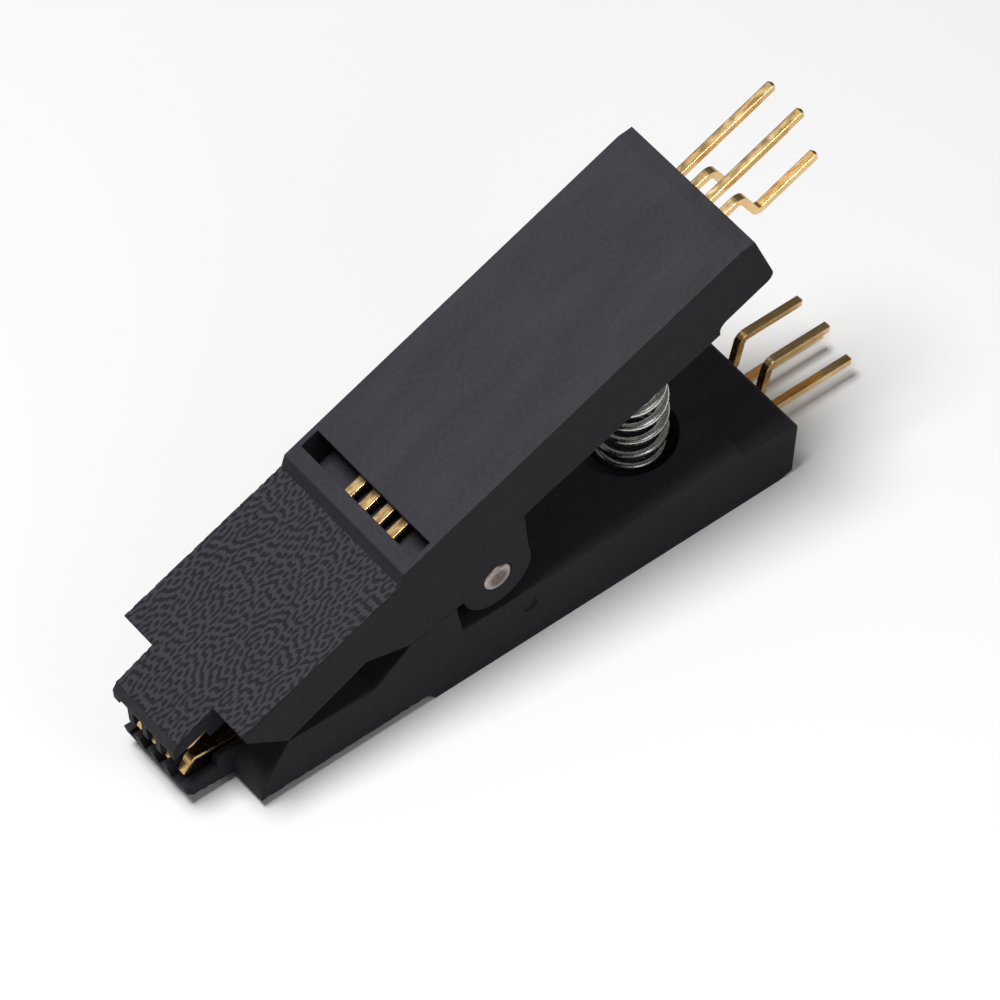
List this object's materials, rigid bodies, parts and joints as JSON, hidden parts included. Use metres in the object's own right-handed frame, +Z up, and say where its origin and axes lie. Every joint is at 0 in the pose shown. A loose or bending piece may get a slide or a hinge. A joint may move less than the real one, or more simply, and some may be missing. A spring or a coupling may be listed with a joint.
{
  "type": "ic test clip",
  "caption": "Spring-loaded peg-style test clip that grips a small-outline chip and brings its leads out to header pins.",
  "frame": {"origin": "centre of the closed clip's footprint, on the surface it lies on", "axes": "+X along the clip from the gripping nose to the header pins, +Y along the hinge pin, +Z up through both jaws"},
  "size_m": [0.0526, 0.0112, 0.0275],
  "materials": {
    "jaw_plastic": "fine matte black moulded plastic, coarse grain on the grips",
    "pin_steel": "drawn steel with formed ends",
    "spring_steel": "bright plated spring wire",
    "contact_gold": "gold-plated formed strip"
  },
  "bodies": {
    "lower": {"lower_jaw": "jaw_plastic", "hinge_pin": "pin_steel", "spring": "spring_steel", "lower_contact_1": "contact_gold", "lower_contact_2": "contact_gold", "lower_contact_3": "contact_gold", "lower_contact_4": "contact_gold"},
    "upper": {"upper_jaw": "jaw_plastic", "upper_contact_1": "contact_gold", "upper_contact_2": "contact_gold", "upper_contact_3": "contact_gold", "upper_contact_4": "contact_gold"}
  },
  "joints": [
    {"name": "jaw_hinge", "type": "hinge", "parent": "lower", "child": "upper", "pos_m": [-0.00478, 0, 0.0084], "axis": [0, 1, 0], "range_deg": [0, 36], "stiffness_Nm_per_rad": 0.12, "springref_deg": -28.65, "deforming": ["spring"]}
  ]
}
